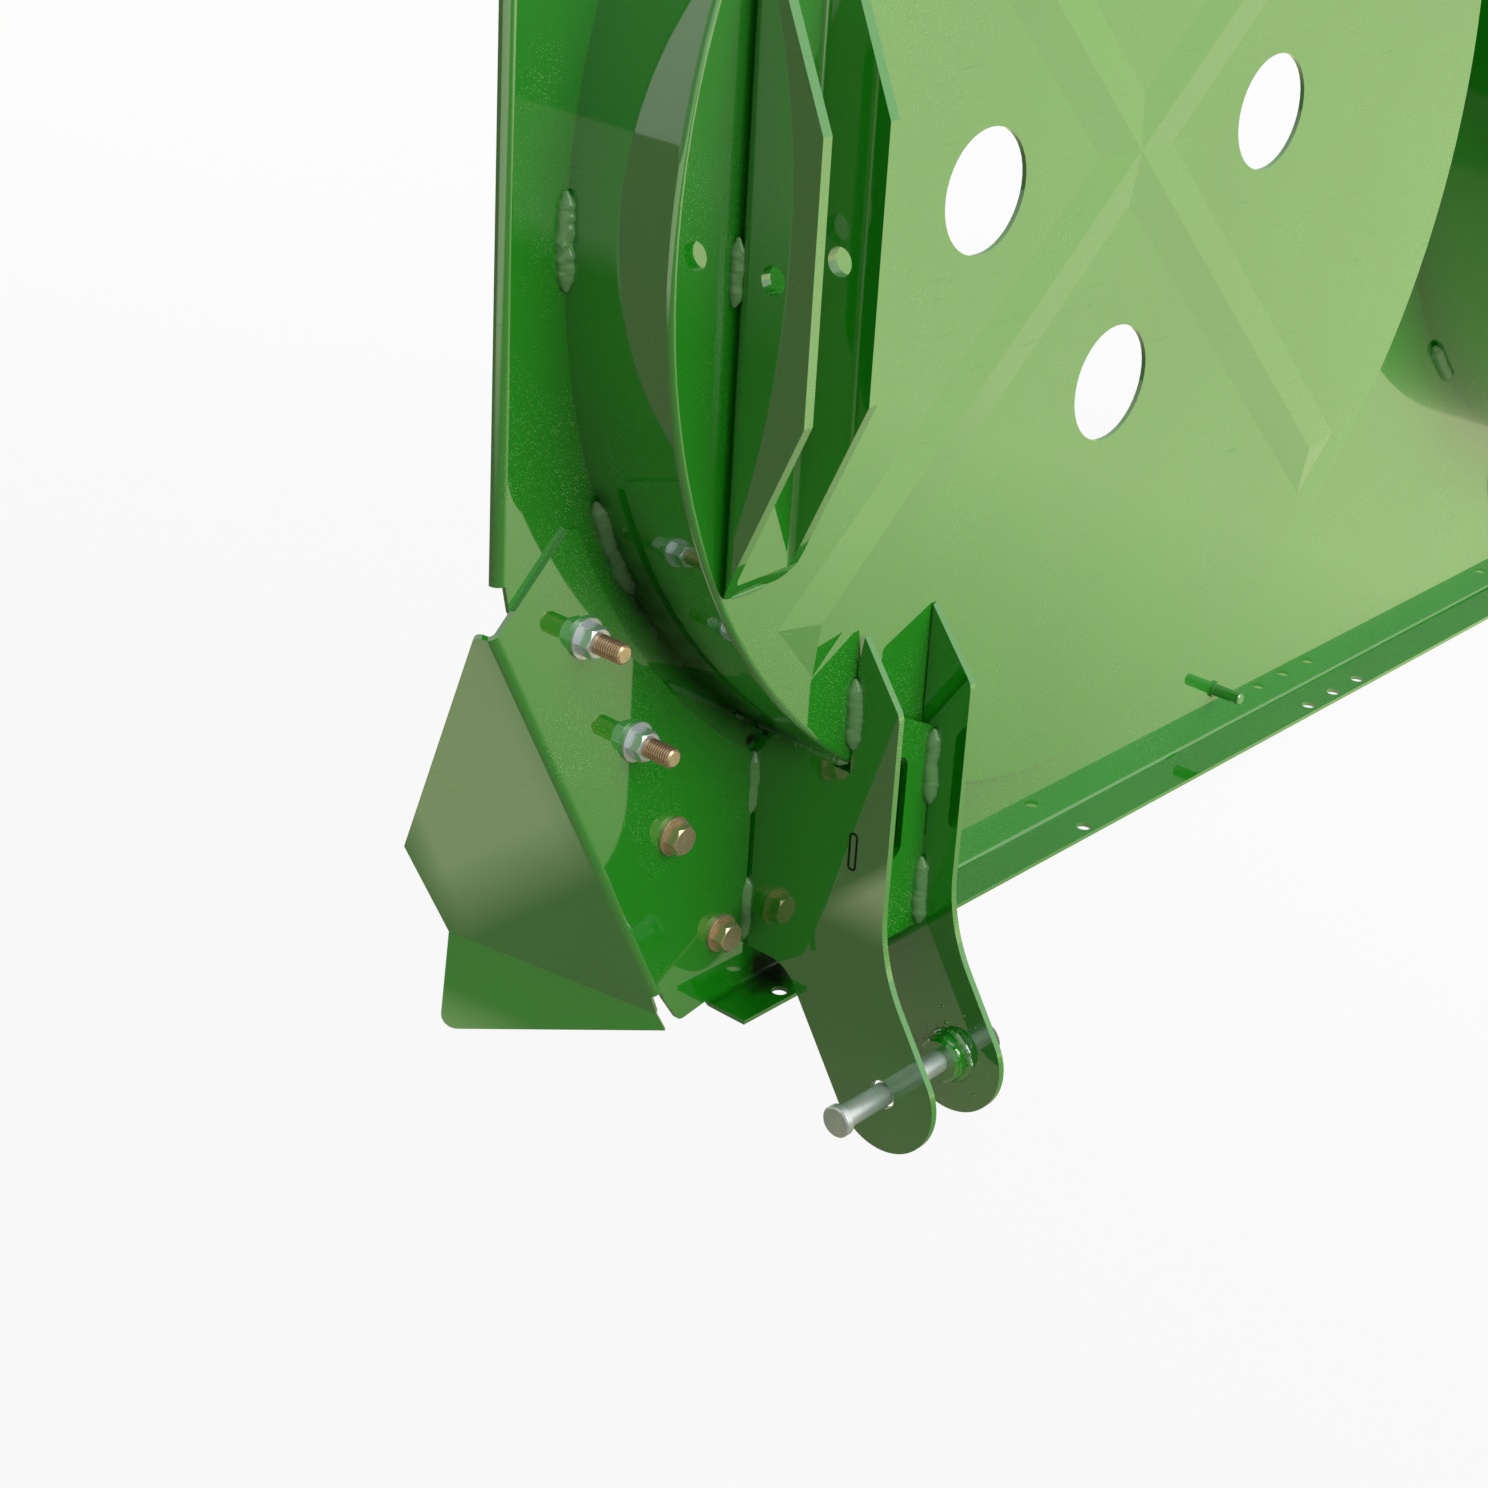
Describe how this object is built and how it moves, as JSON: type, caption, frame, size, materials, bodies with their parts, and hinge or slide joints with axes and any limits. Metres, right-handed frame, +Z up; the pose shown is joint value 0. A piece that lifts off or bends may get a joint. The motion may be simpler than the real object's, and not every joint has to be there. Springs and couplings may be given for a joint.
{
  "type": "combine deflector housing",
  "caption": "Sheet metal deflector housing with pressed round pans, a folded rear panel, clevis brackets and bolted side deflector wings for spreading crop residue.",
  "frame": {"origin": "midway between the two pans, on the pin axis through the four ears of the upper brackets", "axes": "+X across the housing from the pictured side to the other pan, +Y from the closed pan fronts to the open back, +Z up along the rear panel"},
  "size_m": [1.5452, 0.2228, 0.9045],
  "materials": {
    "green_paint": "gloss",
    "bright_zinc": "satin",
    "yellow_zinc": "satin",
    "spring_wire": "satin"
  },
  "bodies": {
    "housing": {"rear_panel": "green_paint", "weld_stud": "green_paint", "pan_left": "green_paint", "pan_right": "green_paint", "upper_bracket_left": "green_paint", "upper_bracket_right": "green_paint", "lower_arm_outer_left": "green_paint", "lower_arm_outer_right": "green_paint", "lower_arm_inner_left": "green_paint", "lower_arm_inner_right": "green_paint", "lower_web_left": "green_paint", "lower_web_right": "green_paint", "pin_collar_left": "green_paint", "pin_collar_right": "green_paint", "deflector_wing_left": "green_paint", "deflector_wing_right": "green_paint", "front_nuts": "bright_zinc", "long_bolts": "yellow_zinc", "flange_bolts": "yellow_zinc", "rear_nuts": "yellow_zinc"},
    "pin_left": {"clevis_pin_left": "bright_zinc", "retaining_ring_left": "spring_wire"},
    "pin_right": {"clevis_pin_right": "bright_zinc", "retaining_ring_right": "spring_wire"}
  },
  "joints": [
    {"name": "clevis_pin_left_slide", "type": "slide", "parent": "housing", "child": "pin_left", "axis": [1, 0, 0], "range_m": [-0.0157, 0.0332]},
    {"name": "clevis_pin_right_slide", "type": "slide", "parent": "housing", "child": "pin_right", "axis": [-1, 0, 0], "range_m": [-0.0157, 0.0332]}
  ]
}
